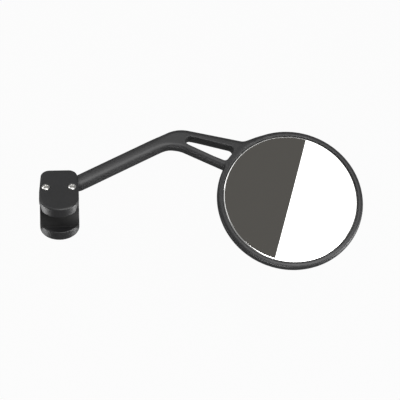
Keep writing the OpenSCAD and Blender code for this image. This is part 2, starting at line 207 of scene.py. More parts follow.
def net(shape: Field, low: Sequence[float], high: Sequence[float], step: float) -> Surface:
    """Wrap a distance field in a net of four-sided faces.

    Formula: each cell of a cubic grid that the surface crosses gets one point, the mean of the
    crossings on its twelve edges, which two steps of p - f g / |g|^2 then bring onto f = 0. Each
    grid edge that crosses the surface gets one face from the four cells round it.

    Args:
        shape: The field, negative inside.
        low: Lowest corner of the grid.
        high: Highest corner of the grid.
        step: Side of a cell.

    Returns:
        The closed mesh.
    """
    low = np.asarray(low, float)
    steps = [int(np.ceil((high[i] - low[i]) / step)) + 1 for i in range(3)]
    ticks = [(low[i] + step * np.arange(steps[i])).astype(np.float32) for i in range(3)]
    values = shape(ticks[0][:, None, None], ticks[1][None, :, None], ticks[2][None, None, :])
    inside = values < 0
    size = np.array(values.shape) - 1
    count = np.zeros(size, np.int8)
    for i, j, k in np.ndindex(2, 2, 2):
        count += inside[i:size[0] + i, j:size[1] + j, k:size[2] + k]
    active = (count > 0) & (count < 8)
    index = np.full(size, -1, np.int64)
    cells = np.argwhere(active)
    index[active] = np.arange(len(cells))
    total, hits = np.zeros((len(cells), 3)), np.zeros(len(cells))
    for axis in range(3):
        along = np.eye(3, dtype=int)[axis]
        for a, b in np.ndindex(2, 2):
            first = cells + a * np.roll(along, 1) + b * np.roll(along, 2)
            f0, f1 = values[tuple(first.T)], values[tuple((first + along).T)]
            cut = (f0 < 0) != (f1 < 0)
            t = np.where(cut, f0 / np.where(cut, f0 - f1, 1), 0)
            total += np.where(cut[:, None], first + t[:, None] * along, 0)
            hits += cut
    points = low + step * total / hits[:, None]
    for _ in range(SETTLES):
        f = shape(*points.T)
        probes = [(shape(*(points + p).T), shape(*(points - p).T)) for p in PROBE_MM * np.eye(3)]
        slope = np.stack([(ahead - behind) / (2 * PROBE_MM) for ahead, behind in probes], 1)
        move = -(f / np.maximum((slope ** 2).sum(1), SLOPE_FLOOR))[:, None] * slope
        length = np.linalg.norm(move, axis=1, keepdims=True)
        points = points + move * np.minimum(1, REACH * step / np.maximum(length, 1e-9))
    faces = []
    for axis in range(3):
        u, v = (axis + 1) % 3, (axis + 2) % 3
        here = np.moveaxis(inside, (axis, u, v), (0, 1, 2))
        ids = np.moveaxis(index, (axis, u, v), (0, 1, 2))
        cut = here[:-1, 1:-1, 1:-1] != here[1:, 1:-1, 1:-1]
        round_edge = [ids[:, :-1, :-1], ids[:, 1:, :-1], ids[:, 1:, 1:], ids[:, :-1, 1:]]
        quad = np.stack([cell[cut] for cell in round_edge], 1)
        out = here[:-1, 1:-1, 1:-1][cut]
        faces.append(np.where(out[:, None], quad, quad[:, ::-1]))
    return Surface(points, np.vstack(faces)).outward()


def revolve(profile: Sequence[Sequence[float]], segments: int) -> Surface:
    """Turn a closed profile about Z.

    Formula: (r cos a, r sin a, z) for each profile point (r, z) and a in steps of 360 / segments. A
    profile that starts and ends on the axis gets a fan of triangles at each end.

    Args:
        profile: Points (r, z) in order. Both ends lie on the axis, or neither does.
        segments: Number of steps round the axis.

    Returns:
        The closed mesh.
    """
    line = np.asarray(profile, float)
    poles = line[0, 0] == 0
    body = line[1:-1] if poles else line
    a = np.linspace(0, 2 * np.pi, segments, endpoint=False)
    ring = np.stack([np.outer(body[:, 0], np.cos(a)), np.outer(body[:, 0], np.sin(a)),
                     np.repeat(body[:, 1:], segments, 1)], 2)
    rows = len(body)
    i = np.arange(rows - 1 if poles else rows)[:, None]
    j = np.arange(segments)[None, :]
    nxt, up = (j + 1) % segments, (i + 1) % rows
    quads = np.stack([i * segments + j, i * segments + nxt, up * segments + nxt, up * segments + j], 2)
    points = ring.reshape(-1, 3)
    tris = np.zeros((0, 3), int)
    if poles:
        n = len(points)
        points = np.vstack([points, [0, 0, line[0, 1]], [0, 0, line[-1, 1]]])
        j = np.arange(segments)
        k = (j + 1) % segments
        last = (rows - 1) * segments
        tris = np.vstack([np.stack([k, j, np.full(segments, n)], 1),
                          np.stack([last + j, last + k, np.full(segments, n + 1)], 1)])
    return Surface(points, quads.reshape(-1, 4), tris).outward()


def arc_points(centre: Sequence[float], radius: float, start: float, end: float,
               count: int) -> list[list[float]]:
    """Points of an arc, centre + r (cos a, sin a), from start to end in degrees."""
    a = np.radians(np.linspace(start, end, count))
    return np.stack([centre[0] + radius * np.cos(a), centre[1] + radius * np.sin(a)], 1).tolist()


def put(name: str, surface: Surface, finish: "Finish", body: str, slot: str, *nodes: str) -> bpy.types.Object:
    """Write a mesh into the scene, dress it and fix it to its body.

    Args:
        name: Name of the new piece.
        surface: Its mesh in millimetres.
        finish: Its finish.
        body: Body that it moves with.
        slot: Name of its material slot; not used.
        nodes: CAD nodes that it stands for.

    Returns:
        The new object.
    """
    mesh = bpy.data.meshes.new(name)
    quads, tris = surface.quads, surface.tris
    mesh.vertices.add(len(surface.points))
    mesh.vertices.foreach_set("co", (surface.points * MM).astype(np.float32).ravel())
    mesh.loops.add(quads.size + tris.size)
    mesh.loops.foreach_set("vertex_index", np.concatenate([quads.ravel(), tris.ravel()]).astype(np.int32))
    mesh.polygons.add(len(quads) + len(tris))
    starts = np.concatenate([4 * np.arange(len(quads)), quads.size + 3 * np.arange(len(tris))])
    mesh.polygons.foreach_set("loop_start", starts.astype(np.int32))
    mesh.polygons.foreach_set("use_smooth", np.ones(len(starts), bool))
    mesh.update(calc_edges=True)
    mesh.validate()
    mesh.materials.append(finish.material())
    piece = bpy.data.objects.new(name, mesh)
    bpy.context.scene.collection.objects.link(piece)
    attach(piece, body)
    if nodes:
        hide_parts(*nodes)
    log.info("%s: %d points, %d faces, on %s", name, len(surface.points), len(starts), body)
    return piece


def dress(node: str, finish: "Finish") -> None:
    """Give a carried-over CAD node its finish.

    Args:
        node: Name of the CAD node.
        finish: The finish.
    """
    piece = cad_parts[node]
    if not piece.material_slots:
        piece.data.materials.append(None)
    for place in piece.material_slots:
        place.material = finish.material()
    log.info("%s: finished as %s", node, finish.name)


# Finishes

def add(tree: bpy.types.NodeTree, kind: str, links: dict | None = None, **values: object) -> bpy.types.Node:
    """Add one shader node with its settings and links.

    Args:
        tree: Node tree that it joins.
        kind: Class of the node.
        links: Socket of another node for each input that is linked, by input name or number.
        values: Settings of the node, or else values of its inputs, with _ for a space in the input's name.

    Returns:
        The node.
    """
    made = tree.nodes.new(kind)
    for key, value in values.items():
        if hasattr(made, key):
            setattr(made, key, value)
        else:
            made.inputs[key.replace("_", " ")].default_value = value
    for key, source in (links or {}).items():
        tree.links.new(source, made.inputs[key])
    return made


@dataclass(frozen=True)
class Finish:
    """A finish with a fine grain, worked out from a grain width in millimetres.

    The grain gives the bump. A wider cloud shifts colour and roughness by their spreads.
    """

    name: str
    colour: str
    roughness: float
    metallic: float = 0.0
    grain_mm: float = 0.6
    grain_depth_mm: float = 0.02
    colour_spread: float = 0.06
    rough_spread: float = 0.06
    ior: float = 1.5
    cloud_mm: float = 14.0
    cloud_range: tuple[float, float] = (0.3, 0.7)
    bump_strength: float = 0.5

    def material(self) -> bpy.types.Material:
        """Make the material once: fine noise drives the bump, and wide noise the colour and the roughness.

        Returns:
            The material.
        """
        known = bpy.data.materials.get(self.name)
        if known:
            return known
        made = bpy.data.materials.new(self.name)
        made.use_nodes = True
        tree = made.node_tree
        shader = tree.nodes["Principled BSDF"]
        shader.inputs["Metallic"].default_value = self.metallic
        if self.metallic == 0:
            shader.inputs["IOR"].default_value = self.ior
        place = {"Vector": add(tree, "ShaderNodeTexCoord").outputs["Object"]}
        grain = add(tree, "ShaderNodeTexNoise", place, Scale=1 / (self.grain_mm * MM), Detail=3.0)
        cloud = add(tree, "ShaderNodeTexNoise", place, Scale=1 / (self.cloud_mm * MM), Detail=2.0)
        base = np.array(linear(self.colour))[:3]
        tone = add(tree, "ShaderNodeValToRGB", {"Fac": cloud.outputs["Fac"]})
        for stop, start, share in zip(tone.color_ramp.elements, self.cloud_range, (-1, 1)):
            stop.position = start
            stop.color = (*np.minimum(base * (1 + share * self.colour_spread), 1), 1)
        tree.links.new(tone.outputs["Color"], shader.inputs["Base Color"])
        rough = add(tree, "ShaderNodeMapRange", {"Value": cloud.outputs["Fac"]},
                    From_Min=self.cloud_range[0], From_Max=self.cloud_range[1],
                    To_Min=(1 - self.rough_spread) * self.roughness,
                    To_Max=(1 + self.rough_spread) * self.roughness)
        tree.links.new(rough.outputs["Result"], shader.inputs["Roughness"])
        bump = add(tree, "ShaderNodeBump", {"Height": grain.outputs["Fac"]},
                   Strength=self.bump_strength, Distance=self.grain_depth_mm * MM)
        tree.links.new(bump.outputs["Normal"], shader.inputs["Normal"])
        return made


# Glass-filled nylon, spark-eroded mould: black with a soft sheen and a fine grain, drawn coarser than life.
SATIN_NYLON = Finish("satin_moulded_nylon", "#161617", 0.48, grain_mm=0.7, grain_depth_mm=0.02)
# Moulded nitrile rubber: darker and duller than the nylon.
PAD_RUBBER = Finish("moulded_nitrile_rubber", "#181818", 0.7, grain_mm=0.5, grain_depth_mm=0.03)
# Turned A2 stainless steel: bright, with hardly any grain.
STAINLESS = Finish("turned_stainless_steel", "#c4c3c0", 0.22, 1.0, grain_mm=0.4, grain_depth_mm=0.004,
                   colour_spread=0.03)
# Zinc-plated steel: a little duller and bluer.
ZINC_STEEL = Finish("zinc_plated_steel", "#b9bcc0", 0.34, 1.0, grain_mm=0.5, grain_depth_mm=0.006)
# Ground bearing steel of the ball and its shank: an even mid grey shine.
GROUND_STEEL = Finish("ground_steel", "#a6a6a8", 0.25, 1.0, grain_mm=0.3, grain_depth_mm=0.004)
# Turned brass of the bush: a warm yellow shine.
TURNED_BRASS = Finish("turned_brass", "#c9a24a", 0.3, 1.0, grain_mm=0.4, grain_depth_mm=0.005)
# Natural acetal of the friction cups: off-white with a waxy sheen.
NATURAL_ACETAL = Finish("natural_acetal", "#d9d6cc", 0.35, grain_mm=0.8, grain_depth_mm=0.01, ior=1.48)
# Closed-cell foam tape: matt and dark.
FOAM_TAPE = Finish("closed_cell_foam", "#262626", 0.9, grain_mm=0.5, grain_depth_mm=0.08)
# Silvered float glass: a near perfect reflector, faintly warm.
SILVERED_GLASS = Finish("silvered_glass", "#eeeeec", 0.01, 1.0, grain_mm=8.0, grain_depth_mm=0.0,
                        colour_spread=0.0)
# Finish of each CAD node that is carried over as it is.
CARRIED = {
    "upper_bar_pad": PAD_RUBBER,
    "lower_bar_pad": PAD_RUBBER,
    "upper_ball_cup": NATURAL_ACETAL,
    "lower_ball_cup": NATURAL_ACETAL,
    "clamp_nut_left": ZINC_STEEL,
    "clamp_nut_right": ZINC_STEEL,
    "ball_stud": GROUND_STEEL,
    "stud_ring": ZINC_STEEL,
    "stud_insert": TURNED_BRASS,
    "glass_pad": FOAM_TAPE,
}


# The mirror's own frame

def arm_axes(yaw: float, pitch: float, roll: float) -> tuple[tuple[float, ...], ...]:
    """Axes of the arm: a roll about X, then a rise about Y, then a turn about Z, all in degrees."""
    a, b, c = np.radians([yaw, -pitch, roll])
    rz = np.array([[np.cos(a), -np.sin(a), 0], [np.sin(a), np.cos(a), 0], [0, 0, 1]])
    ry = np.array([[np.cos(b), 0, np.sin(b)], [0, 1, 0], [-np.sin(b), 0, np.cos(b)]])
    rx = np.array([[1, 0, 0], [0, np.cos(c), -np.sin(c)], [0, np.sin(c), np.cos(c)]])
    return tuple(map(tuple, rz @ ry @ rx))


BALL_CENTRE = (0.0, 26.8, 2.3)
ARM_YAW, ARM_PITCH, ARM_ROLL = 23.7, 11.8, 26.1
ARM_PLACE = Placement(BALL_CENTRE, arm_axes(ARM_YAW, ARM_PITCH, ARM_ROLL))
# Middle of the housing and the glass, in the arm's frame.
HOUSING_CENTRE = (179.2, -101.7)
# Each screw's distance from the clamp's middle, and from the bar's axis to the back.
SCREW_PLACE = (11.5, 16.2)


# Sub-assemblies

class Side(Enum):
    """The two halves of the clamp."""

    UPPER = 1
    LOWER = -1


@dataclass
class ClampShell:
    """One moulded half of the clamp, as the solid's sizes have it.

    nose and corner are the plan's discs (x, y, r). counterbore and nut are a radius and a depth, pocket a
    radius and half a height. window is the swept cone's start and radius there, then a point further out
    and its radius there. grid is the lowest and the highest (x, y) of the net, and grid_over is how far the
    net goes past the parting plane and past the outside.
    """

    side: Side
    nose: tuple[float, float, float] = (0.0, 2.6, 17.2)
    corner: tuple[float, float, float] = (8.1, 32.1, 8.0)
    mouth: float = 8.5
    half_height: float = 17.7
    half_part: float = 0.4
    edge: float = 1.6
    lip: float = 11.3
    pad: float = 12.3
    pad_angles: tuple[float, float] = (12.0, 120.0)
    screws: tuple[float, float] = SCREW_PLACE
    hole: float = 2.2
    counterbore: tuple[float, float] = (4.1, 1.4)
    nut: tuple[float, float] = (3.6, 5.8)
    pocket: tuple[float, float] = (9.9, 9.85)
    window: tuple[float, float, float, float] = (6.8, 6.3, 37.4, 10.1)
    pan: float = 10.0
    tilt: tuple[float, float] = (-8.0, 5.0)
    part_round: float = 0.6
    mouth_round: float = 0.9
    seat_round: float = 0.3
    window_round: float = 0.8
    grid: tuple[tuple[float, float], tuple[float, float]] = ((-18.0, -15.6), (18.0, 41.0))
    grid_over: tuple[float, float] = (1.0, 0.6)
    cell: float = 0.34

    def shape(self, x: Array, y: Array, z: Array) -> Array:
        """Distance field of the shell: the rounded blank less its bores, pockets and window.

        Args:
            x: Coordinates along the bar.
            y: Coordinates to the back.
            z: Coordinates up.

        Returns:
            The distance, negative inside.
        """
        s = self.side.value
        corners = [self.nose, self.corner, (-self.corner[0], self.corner[1], self.corner[2])]
        plan = hull_distance(x, y, corners)
        blank = edge_rounded(plan, s * z - self.half_height, self.edge)
        solid = soft_max(blank, self.half_part - s * z, self.part_round)
        reach = np.sqrt(y * y + z * z)
        lip = self.lip - reach + 0 * x
        a, b = np.radians(self.pad_angles)
        wedge = np.maximum(np.sin(a) * y - np.cos(a) * s * z, -np.sin(b) * y + np.cos(b) * s * z)
        seat = -np.maximum(reach - self.pad, wedge) + 0 * x
        mouth = -np.maximum(s * z - self.mouth, y) + 0 * x
        solid = soft_max(solid, soft_max(lip, mouth, self.part_round), self.mouth_round)
        solid = soft_max(solid, seat, self.seat_round)
        bx, by, bz = x - BALL_CENTRE[0], y - BALL_CENTRE[1], z - BALL_CENTRE[2]
        cup = np.maximum(np.sqrt(bx * bx + by * by) - self.pocket[0], np.abs(bz) - self.pocket[1])
        solid = np.maximum(solid, -cup)
        solid = soft_max(solid, -self.sweep(bx, by, bz), self.window_round)
        for sx in (-1, 1):
            away = np.sqrt((x - sx * self.screws[0]) ** 2 + (y - self.screws[1]) ** 2)
            solid = np.maximum(solid, self.hole - away + 0 * z)
            if self.side is Side.UPPER:
                sunk = np.minimum(self.counterbore[0] - away, z - self.half_height + self.counterbore[1])
            else:
                across = (x - sx * self.screws[0], y - self.screws[1])
                hexagon = hull_distance(*across, [(0, 0, self.nut[0])], 6, (30, 390))
                sunk = np.minimum(-hexagon, -self.half_height + self.nut[1] - z)
            solid = soft_max(solid, sunk, self.seat_round)
        return solid

    def sweep(self, x: Array, y: Array, z: Array) -> Array:
        """Distance field of what the arm's root sweeps: a cone about the nearest allowed direction."""
        away = np.sqrt(x * x + y * y + z * z) + 1e-6
        yaw = np.clip(np.arctan2(y, x), np.radians(ARM_YAW - self.pan), np.radians(ARM_YAW + self.pan))
        lowest, highest = [np.radians(ARM_PITCH + limit) for limit in self.tilt]
        rise = np.clip(np.arcsin(z / away), lowest, highest)
        along = x * np.cos(rise) * np.cos(yaw) + y * np.cos(rise) * np.sin(yaw) + z * np.sin(rise)
        off = np.sqrt(np.maximum(away * away - along * along, 0))
        t0, r0, t1, r1 = self.window
        return np.maximum(off - (r0 + (r1 - r0) * (along - t0) / (t1 - t0)), t0 - along)

    def build(self) -> None:
        """Make the shell and put it in place of its CAD node."""
        name = self.side.name.lower()
        past, over = self.grid_over
        top = self.half_height + over
        z = (-past, top) if self.side is Side.UPPER else (-top, past)
        surface = net(self.shape, (*self.grid[0], z[0]), (*self.grid[1], z[1]), self.cell)
        body = "clamp" if self.side is Side.UPPER else "jaw"
        put(f"{name}_moulded_shell", surface, SATIN_NYLON, body, "satin_plastic", f"{name}_shell")


@dataclass
class ClampScrew:
    """A pan-head screw with a cross recess and a threaded shank.

    cross is half the length, half the width and the depth of the recess at the dome's top. plain, sunk
    and tip are the shank without thread, its length inside the head and the narrowing of its end. grid
    is the net's half width, bottom and top.
    """

    name: str
    x: float
    y: float = SCREW_PLACE[1]
    seat: float = 16.3
    head: float = 3.9
    height: float = 2.4
    shank: float = 2.0
    end: float = -17.1
    pitch: float = 0.7
    thread: float = 0.2
    turn: float = 12.0
    dome: float = 6.4
    rim_round: float = 0.8
    foot_round: float = 0.3
    cross: tuple[float, float, float] = (2.25, 0.55, 1.9)
    cross_taper: float = 0.22
    cross_round: tuple[float, float] = (0.3, 0.15)
    plain: float = 1.5
    sunk: float = 0.4
    tip: float = 0.5
    grid: tuple[float, float, float] = (4.3, -0.3, 3.0)
    cell: float = 0.11
    segments: int = 32

    def head_shape(self, x: Array, y: Array, z: Array) -> Array:
        """Distance field of the domed head less a tapering cross."""
        reach = np.sqrt(x * x + y * y)
        dome = np.sqrt(reach * reach + (z + self.dome) ** 2) - (self.dome + self.height)
        solid = soft_max(soft_max(reach - self.head, dome, self.rim_round), -z + 0 * reach, self.foot_round)
        c, s = np.cos(np.radians(self.turn)), np.sin(np.radians(self.turn))
        u, v = x * c + y * s, -x * s + y * c
        taper = self.cross_taper * (z - self.height)
        length, width, depth = self.cross
        slot_a = np.maximum(np.abs(u) - length - 2 * taper, np.abs(v) - width - taper)
        slot_b = np.maximum(np.abs(v) - length - 2 * taper, np.abs(u) - width - taper)
        cross = np.maximum(soft_min(slot_a, slot_b, self.cross_round[0]), self.height - depth - z)
        return soft_max(solid, -cross, self.cross_round[1])

    def build(self) -> None:
        """Make head and shank as one piece, the shank with a ridge for each turn of thread."""
        half, bottom, top = self.grid
        head = net(self.head_shape, (-half, -half, bottom), (half, half, top), self.cell)
        head.points = head.points + [self.x, self.y, self.seat]
        start = self.seat - self.plain
        count = int((start - self.end) / self.pitch)
        line = [[0, self.seat + self.sunk], [self.shank, self.seat + self.sunk]]
        line += [[self.shank - (self.thread if i % 2 == 0 else 0), start - i * self.pitch / 2]
                 for i in range(2 * count)]
        line += [[self.shank - self.tip, self.end], [0, self.end]]
        shank = revolve(line, self.segments)
        shank.points = shank.points + [self.x, self.y, 0]
        whole = head.join(shank)
        put(f"{self.name}_recessed_screw", whole, STAINLESS, self.name, "stainless", f"clamp_{self.name}")


@dataclass
class Housing:
    """The round housing: rim, recess for the glass and bulged back, turned about its own axis.

    lip_end and seat_round are where the lip's wall begins below the rim, and the break at its foot. The
    last five sizes are the points on each stretch of the section.
    """

    centre: tuple[float, float] = HOUSING_CENTRE
    radius: float = 66.0
    rim_top: float = 7.8
    rim_round: float = 3.6
    rim_width: float = 5.0
    lip: float = 0.8
    back: float = 7.4
    back_round: float = 10.5
    bulge: float = 3.0
    wall: float = 2.4
    seat: float = 1.6
    shelf: float = 50.7
    lip_end: float = 1.2
    seat_round: float = 0.1
    dome_points: int = 22
    back_points: int = 14
    rim_points: int = 10
    lip_points: int = 6
    inside_points: int = 16

    def back_face(self, r: float) -> float:
        """Height of the bulged back at radius r: -back - bulge (1 - (r / edge)^2)."""
        return -self.back - self.bulge * (1 - (r / (self.radius - self.back_round)) ** 2)

    def build(self) -> None:
        """Make the housing by turning its section."""
        inner = self.radius - self.rim_width
        edge = self.radius - self.back_round
        rim = (self.radius - self.rim_round, self.rim_top - self.rim_round)
        heel = (edge, self.back_round - self.back)
        lean = np.degrees(np.arctan(2 * self.bulge / edge))
        line = [[0, self.back_face(0)]]
        line += [[r, self.back_face(r)] for r in np.linspace(0, edge, self.dome_points)[1:-1]]
        line += arc_points(heel, self.back_round, lean - 90, 0, self.back_points)
        line += arc_points(rim, self.rim_round, 0, 90, self.rim_points)
        line += arc_points((inner + self.lip, self.rim_top - self.lip), self.lip, 90, 180, self.lip_points)
        line += [[inner, self.rim_top - self.lip_end], [inner, self.seat + self.seat_round]]
        line += [[inner - self.seat_round, self.seat], [self.shelf, self.seat]]
        line += [[r, self.back_face(r) + self.wall] for r in np.linspace(self.shelf, 0, self.inside_points)]
        surface = revolve(line, TURN_STEPS)
        surface.points = surface.points + [*self.centre, 0]
        surface = surface.moved(ARM_PLACE)
        put("turned_mirror_housing", surface, SATIN_NYLON, "arm", "satin_plastic", "arm_frame")


@dataclass
class ForkedArm:
    """The round arm, its bend and its two-branch fork, with the fillets into the housing.

    bore is a radius and an end. slot_radii are the slot's discs: towards the bend, at the top and at the
    bottom. fillet is its width at the upper and at the lower branch, which changes over fillet_turn, in
    degrees round the housing. ring_part is the first and the last direction in which this piece covers the
    housing's rim, and its least radius. grid is the lowest and the highest corner of the net.
    """

    root: float = 12.4
    full: float = 19.0
    root_radius: float = 5.7
    radius: float = 7.1
    fork_start: float = 93.3
    fork_full: float = 113.0
    bore: tuple[float, float] = (4.6, 39.0)
    bend_x: float = 109.3
    spread: float = 15.6
    upper_angle: float = 41.5
    lower_angle: float = 53.2
    over_angle: float = 39.4
    upper_width: float = 6.6
    lower_width: float = 6.2
    thickness: float = 12.8
    edge: float = 5.0
    trim: float = 0.9
    top_radius: float = 30.0
    hollow_radius: float = 24.0
    slot_radii: tuple[float, float, float] = (4.0, 4.6, 3.4)
    slot_wall: float = 0.8
    root_round: float = 0.8
    slot_round: float = 0.7
    fillet: tuple[float, float] = (11.0, 2.0)
    fillet_turn: tuple[float, float] = (84.0, 108.0)
    ring: Housing = field(default_factory=Housing)
    ring_part: tuple[float, float, float] = (66.0, 138.0, 62.0)
    ring_inset: float = 0.05
    ring_start: float = 116.0
    grid: tuple[tuple[float, ...], tuple[float, ...]] = ((12.0, -63.0, -8.2), (210.0, 8.0, 10.0))
    cell: float = 0.5

    def line(self, lower: bool, offset: float) -> tuple[Array, Array]:
        """A point and the direction of the line at a height over a branch's middle."""
        a = np.radians(self.lower_angle if lower else self.upper_angle)
        start = np.array([self.bend_x + (0 if lower else self.spread), 0.0])
        return start + offset * np.array([np.sin(a), np.cos(a)]), np.array([np.cos(a), -np.sin(a)])

    def meet(self, lower: bool, offset: float, radius: float) -> Array:
        """Point of such a line at a distance from the housing's centre, on the near side."""
        p, d = self.line(lower, offset)
        w = p - np.array(self.ring.centre)
        b = w @ d
        return p + d * (-b - np.sqrt(b * b - w @ w + radius * radius))

    def crossing(self, upper: float, lower: float) -> Array:
        """Point where a line over the upper branch meets one over the lower branch."""
        p, d = self.line(False, upper)
        q, e = self.line(True, lower)
        t = np.linalg.solve(np.stack([d, -e], 1), q - p)
        return p + t[0] * d

    def slot_discs(self) -> list[tuple[float, float, float]]:
        """The three discs that the slot's outline runs round."""
        near, top, low = self.slot_radii
        u, v = self.upper_width / 2, self.lower_width / 2
        big = self.ring.radius + self.slot_wall
        return [(*self.crossing(-u - near, v + near), near), (*self.meet(False, -u - top, big + top), top),
                (*self.meet(True, v + low, big + low), low)]

    def outline(self, x: Array, y: Array) -> Array:
        """Flat distance field of bend and fork: an arc over the top, an arc in the hollow below."""
        top = self.radius - self.trim
        p, _ = self.line(False, self.upper_width / 2)
        a = np.radians(self.over_angle)
        corner = np.array([p[0] - (top - p[1]) / np.tan(a), top])
        centre = corner - [self.top_radius * np.tan(a / 2), self.top_radius]
        over = arc_corner(x, y, centre, self.top_radius, 90 - self.over_angle, 90)
        q, _ = self.line(True, -self.lower_width / 2)
        b = np.radians(self.lower_angle)
        corner = np.array([q[0] - (-self.radius - q[1]) / np.tan(b), -self.radius])
        centre = corner - [self.hollow_radius * np.tan(b / 2), self.hollow_radius]
        under = arc_corner(x, y, centre, self.hollow_radius, 90 - self.lower_angle, 90)
        return np.maximum(over, -under)

    def rim(self, x: Array, y: Array, z: Array) -> Array:
        """Distance field of the housing's rim, a hair inside the turned housing itself."""
        ring = self.ring
        reach = np.sqrt((x - ring.centre[0]) ** 2 + (y - ring.centre[1]) ** 2)
        r = ring.radius - self.ring_inset
        top = ring.rim_top - ring.rim_round - self.ring_inset
        low = ring.back_round - ring.back + self.ring_inset
        front = arc_corner(reach, z, (r - ring.rim_round, top), ring.rim_round, 0, 90)
        return np.maximum(front, arc_corner(reach, z, (r - ring.back_round, low), ring.back_round, -90, 0))

    def shape(self, x: Array, y: Array, z: Array) -> Array:
        """Distance field of the whole arm.

        Formula: the round arm turns into the edge-rounded fork by a smooth step along X. The slot is cut
        through it. The fork joins the rim with a fillet that is wide above and narrow below.

        Args:
            x: Coordinates along the arm.
            y: Coordinates across it.
            z: Coordinates towards the mirror's face.

        Returns:
            The distance, negative inside.
        """
        grown = np.clip((x - self.root) / (self.full - self.root), 0, 1)
        taper = self.root_radius + (self.radius - self.root_radius) * grown
        round_arm = np.sqrt(y * y + z * z) - taper
        fork = edge_rounded(self.outline(x, y), np.abs(z) - self.thickness / 2, self.edge)
        share = smooth_step(x, self.fork_start, self.fork_full)
        solid = round_arm * (1 - share) + fork * share
        solid = soft_max(solid, self.root - x + 0 * y, self.root_round)
        slot = hull_distance(x, y, self.slot_discs())
        solid = soft_max(solid, -slot + 0 * z, self.slot_round)
        bore = np.maximum(np.sqrt(y * y + z * z) - self.bore[0], x - self.bore[1])
        solid = np.maximum(solid, -bore)
        u, v = x - self.ring.centre[0], y - self.ring.centre[1]
        angle = np.degrees(np.arctan2(v, u))
        wide, narrow = self.fillet
        width = narrow + (wide - narrow) * (1 - smooth_step(angle, *self.fillet_turn))
        joined = soft_min(solid, self.rim(x, y, z), width)
        first, last, least = self.ring_part
        past = np.maximum(first - angle, angle - last) * np.radians(1) * self.ring.radius
        keep = np.maximum(least - np.sqrt(u * u + v * v), past)
        return np.where(x < self.ring_start, solid, np.maximum(joined, keep))

    def build(self) -> None:
        """Make the arm and put it in place of its part of the moulding."""
        surface = net(self.shape, *self.grid, self.cell).moved(ARM_PLACE)
        put("forked_moulded_arm", surface, SATIN_NYLON, "arm", "satin_plastic", "arm_frame")


@dataclass
class MirrorGlass:
    """The convex glass with its ground edge.

    bevel is the width and the depth of the ground edge. hold is the narrow last ring of the face, which
    keeps the bevel's shading off it. bevel_break, rim_break and foot_break round the section's corners.
    """

    centre: tuple[float, float] = HOUSING_CENTRE
    radius: float = 60.9
    edge_z: float = 6.8
    thickness: float = 3.0
    crown: float = 1200.0
    bevel: tuple[float, float] = (1.3, 0.22)
    hold: float = 0.2
    bevel_break: tuple[float, float] = (0.08, 0.03)
    rim_break: tuple[float, float] = (0.05, 0.1)
    foot_break: float = 0.2
    face_rings: int = 40
    back_rings: int = 20

    def height(self, r: Array | float) -> Array | float:
        """Rise of the convex face over its edge at distance r from the centre."""
        return np.sqrt(self.crown ** 2 - np.square(r)) - np.sqrt(self.crown ** 2 - self.radius ** 2)

    def crown_centre(self) -> Array:
        """Centre of the sphere that the convex face lies on, in the model's frame."""
        top = np.array([*self.centre, self.edge_z + self.height(0.0) - self.crown])
        return ARM_PLACE.to_model(top)

    def build(self) -> None:
        """Make the glass by turning its section."""
        inner = self.radius - self.bevel[0]
        low, foot = self.edge_z - self.bevel[1], self.edge_z - self.thickness
        rings = [*np.linspace(0, inner - self.hold, self.face_rings), inner]
        front = [[r, self.edge_z + self.height(r)] for r in rings]
        side = [[inner + self.bevel_break[0], self.edge_z + self.height(inner) - self.bevel_break[1]]]
        side += [[self.radius - self.rim_break[0], low], [self.radius, low - self.rim_break[1]]]
        side += [[self.radius, foot + self.foot_break], [self.radius - self.foot_break, foot]]
        back = [[r, foot + self.height(r)] for r in np.linspace(inner, 0, self.back_rings)]
        surface = revolve(front + side + back, TURN_STEPS)
        surface.points = surface.points + [*self.centre, 0]
        surface = surface.moved(ARM_PLACE)
        put("convex_silvered_glass", surface, SILVERED_GLASS, "arm", "mirror_face", "mirror_glass")


# Studio

@dataclass(frozen=True)
class SoftBox:
    """A rectangular lamp, in metres and degrees, where a brightness of 1 is white."""

    name: str
    place: tuple[float, float, float]
    aim: tuple[float, float, float]
    size: tuple[float, float]
    brightness: float
    spread: float = 180.0


# The last four stand below the object, with narrow beams for the walls that face down.
LAMPS = (
    SoftBox("overhead_box", (0.25, 0.0, 1.3), (0.1, 0, 0), (1.3, 0.8), 1.55),
    SoftBox("front_box", (0.5, -0.77, 0.87), (0.1, 0, 0), (1.1, 0.75), 5.1),
    SoftBox("left_box", (-0.7, 0.52, 0.95), (0.1, 0, 0), (0.55, 0.7), 2.6),
    SoftBox("left_low_box", (-0.19, -0.01, -0.14), (-0.01, -0.01, 0.0), (0.2, 0.2), 0.9, 60.0),
    SoftBox("right_ring_box", (0.62, -0.134, -0.099), (0.2, 0.02, 0.0), (0.12, 0.36), 1.5, 50.0),
    SoftBox("front_ring_box", (0.08, -0.396, -0.099), (0.2, 0.02, 0.0), (0.09, 0.36), 0.85, 40.0),
    SoftBox("right_low_box", (0.19, 0.0, -0.14), (-0.01, -0.02, 0.0), (0.16, 0.16), 0.36, 34.0),
)


